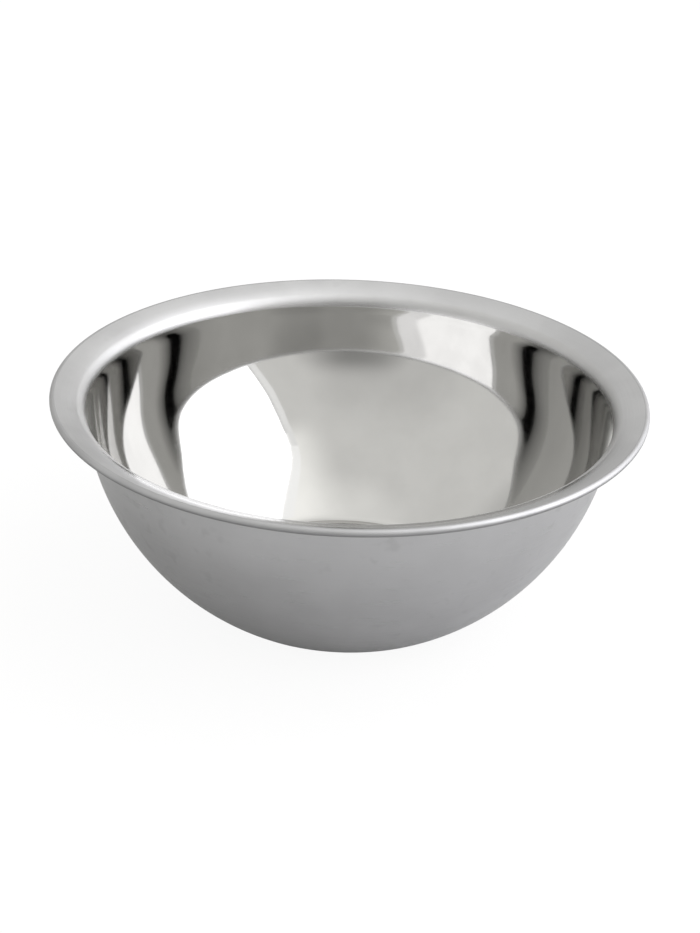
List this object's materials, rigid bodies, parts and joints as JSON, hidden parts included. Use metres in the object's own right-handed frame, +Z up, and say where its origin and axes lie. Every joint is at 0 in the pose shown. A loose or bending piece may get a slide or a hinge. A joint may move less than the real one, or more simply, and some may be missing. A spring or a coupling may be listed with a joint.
{
  "type": "mixing bowl",
  "caption": "Round stainless steel mixing bowl with a flat base, a spherical wall, a flared rim and a rolled edge, for holding and mixing food.",
  "frame": {"origin": "centre of the flat base's underside, on the table", "axes": "+Z up along the bowl's axis of revolution; -Y faces the camera of the picture and +X is to its right"},
  "size_m": [0.24, 0.24, 0.089],
  "materials": {
    "polished_sheet": "mirror polished inside, satin outside",
    "satin_rim": "satin"
  },
  "bodies": {
    "root": {"base_panel": "polished_sheet", "heel_bend": "polished_sheet", "lower_wall": "polished_sheet", "upper_wall": "polished_sheet", "rim_bend": "polished_sheet", "rim_flare": "satin_rim", "rolled_edge": "satin_rim"}
  },
  "joints": []
}
